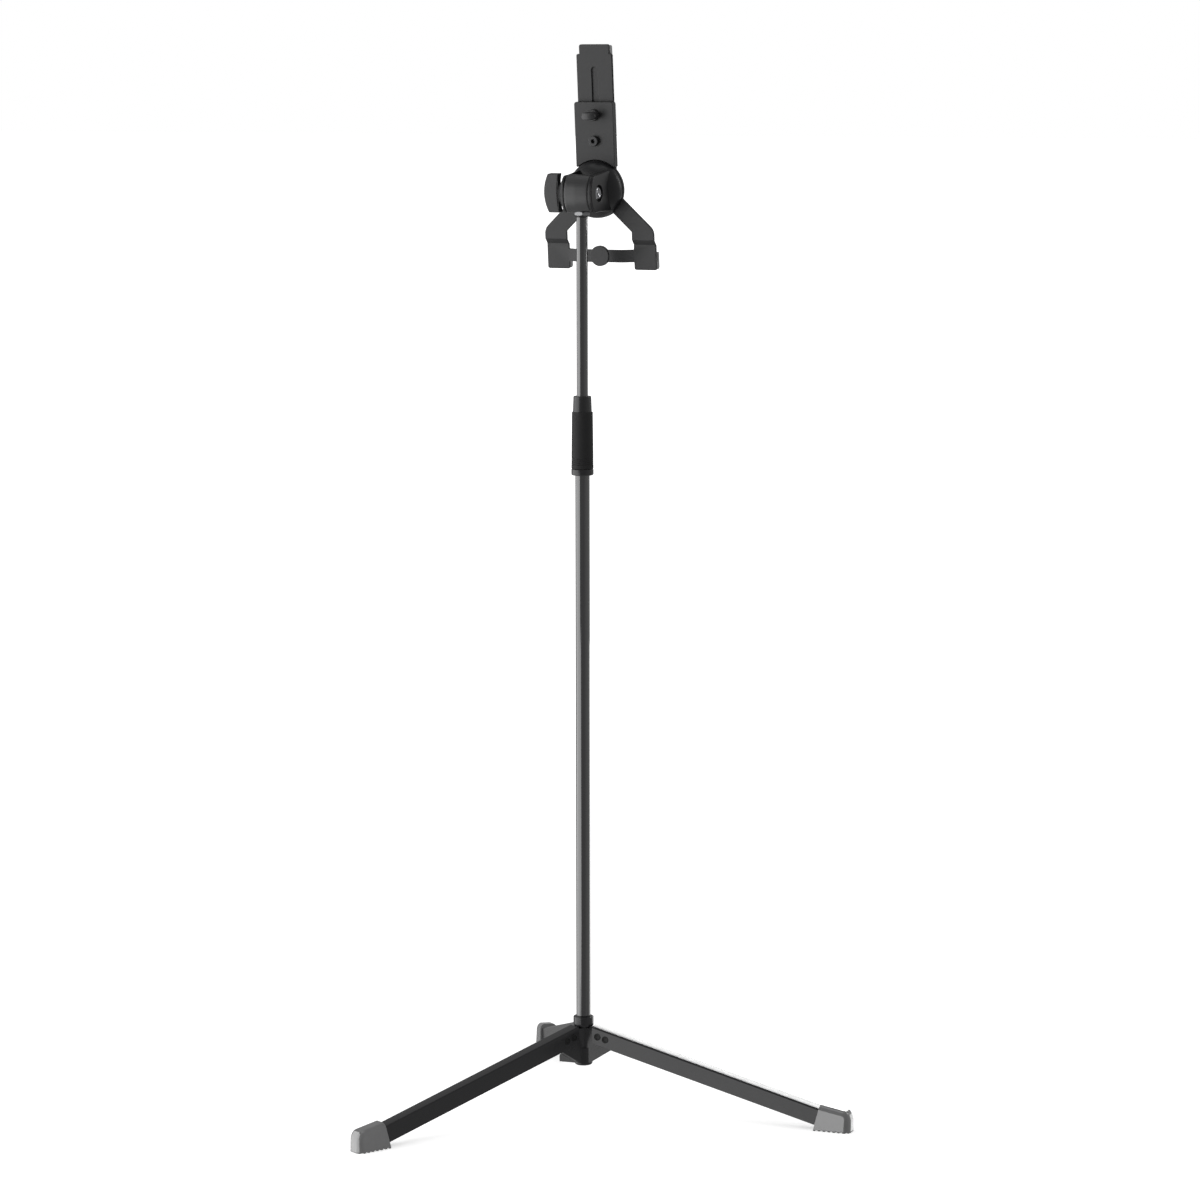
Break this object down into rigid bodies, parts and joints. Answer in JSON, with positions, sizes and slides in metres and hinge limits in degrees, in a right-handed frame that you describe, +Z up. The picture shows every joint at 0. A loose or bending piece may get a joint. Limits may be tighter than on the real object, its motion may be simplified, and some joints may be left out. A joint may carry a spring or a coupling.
{
  "type": "tablet floor stand",
  "caption": "Black floor stand that holds a tablet: folding tripod base, telescopic pole with a twist clutch, tilting head and turning holder with a sliding top hook.",
  "frame": {"origin": "on the pole's axis at floor level", "axes": "+Z up along the pole, X along the tilt axis with the paddle knob at +X, the held screen looks towards -Y"},
  "size_m": [0.5418, 0.6019, 1.2784],
  "materials": {
    "hub_paint": "gloss black enamel on the casting",
    "leg_paint": "gloss black powder coat",
    "tube_paint": "gloss black powder coat on tube",
    "pin_steel": "blackened steel",
    "foot_rubber": "matt grey rubber",
    "clutch_plastic": "satin black moulding",
    "grip_rubber": "matt black rubber",
    "nylon": "natural nylon",
    "zinc_steel": "bright zinc plate",
    "head_plastic": "smooth black moulding",
    "bolt_chrome": "polished chrome",
    "knob_plastic": "satin black moulding",
    "insert_brass": "turned brass",
    "holder_plastic": "satin black moulding",
    "screw_black": "black oxide",
    "liner_rubber": "soft pale grey rubber"
  },
  "bodies": {
    "base": {"hub": "hub_paint", "hub_collar": "hub_paint", "centre_bolt": "zinc_steel", "tube_plug": "zinc_steel", "lower_tube": "tube_paint", "clutch_ring": "clutch_plastic", "clutch_core": "nylon", "clutch_collet": "nylon"},
    "left_leg": {"leg_left": "leg_paint", "pins_left": "pin_steel", "foot_left": "foot_rubber"},
    "right_leg": {"leg_right": "leg_paint", "pins_right": "pin_steel", "foot_right": "foot_rubber"},
    "rear_leg": {"leg_rear": "leg_paint", "pins_rear": "pin_steel", "foot_rear": "foot_rubber"},
    "clutch": {"clutch_nut": "clutch_plastic", "clutch_grip": "grip_rubber"},
    "mast": {"rod": "tube_paint", "rod_bush": "nylon", "rod_stud": "zinc_steel", "rod_cap": "clutch_plastic", "lock_nut": "zinc_steel"},
    "swivel": {"pivot_barrel": "head_plastic"},
    "head": {"fork": "head_plastic", "tilt_discs": "nylon", "tilt_bolt": "bolt_chrome", "tilt_washer": "zinc_steel", "swivel_disc": "nylon", "holder_axle": "zinc_steel"},
    "knob": {"tilt_knob": "knob_plastic", "knob_insert": "insert_brass"},
    "holder": {"holder_plate": "holder_plastic", "holder_sleeve": "holder_plastic", "cap_screw": "screw_black", "hook_liners": "liner_rubber"},
    "top_hook": {"slide": "holder_plastic", "slide_liner": "liner_rubber"},
    "clamp_screw": {"wing_knob": "knob_plastic", "wing_stud": "zinc_steel"}
  },
  "joints": [
    {"name": "left_leg_fold", "type": "hinge", "parent": "base", "child": "left_leg", "pos_m": [0.01381, 0.0282, 0.08685], "axis": [-0.898, 0.4399, 0], "range_deg": [0, 75]},
    {"name": "right_leg_fold", "type": "hinge", "parent": "base", "child": "right_leg", "pos_m": [-0.03133, -0.00214, 0.08685], "axis": [0.068, -0.9977, 0], "range_deg": [0, 75]},
    {"name": "rear_leg_fold", "type": "hinge", "parent": "base", "child": "rear_leg", "pos_m": [0.01751, -0.02606, 0.08685], "axis": [0.83, 0.5577, 0], "range_deg": [0, 75]},
    {"name": "clutch_twist", "type": "hinge", "parent": "base", "child": "clutch", "pos_m": [0, 0, 0.84565], "axis": [0, 0, 1], "range_deg": [0, 90]},
    {"name": "mast_slide", "type": "slide", "parent": "base", "child": "mast", "axis": [0, 0, 1], "range_m": [-0.205, 0.33]},
    {"name": "head_pan", "type": "hinge", "parent": "mast", "child": "swivel", "pos_m": [0, 0, 1.08585], "axis": [0, 0, 1], "range_deg": [-180, 180]},
    {"name": "head_tilt", "type": "hinge", "parent": "swivel", "child": "head", "pos_m": [0, 0, 1.1041], "axis": [-1, 0, 0], "range_deg": [-8, 75]},
    {"name": "knob_turn", "type": "hinge", "parent": "head", "child": "knob", "pos_m": [0, 0, 1.1041], "axis": [1, 0, 0], "continuous": true},
    {"name": "holder_turn", "type": "hinge", "parent": "head", "child": "holder", "pos_m": [0, -0.04186, 1.10754], "axis": [0, 0.9966, -0.0819], "continuous": true},
    {"name": "hook_slide", "type": "slide", "parent": "holder", "child": "top_hook", "axis": [0, 0.0819, 0.9966], "range_m": [-0.05, 0.045]},
    {"name": "clamp_turn", "type": "hinge", "parent": "holder", "child": "clamp_screw", "pos_m": [0, -0.03266, 1.19508], "axis": [0, 0.9966, -0.0819], "continuous": true}
  ]
}
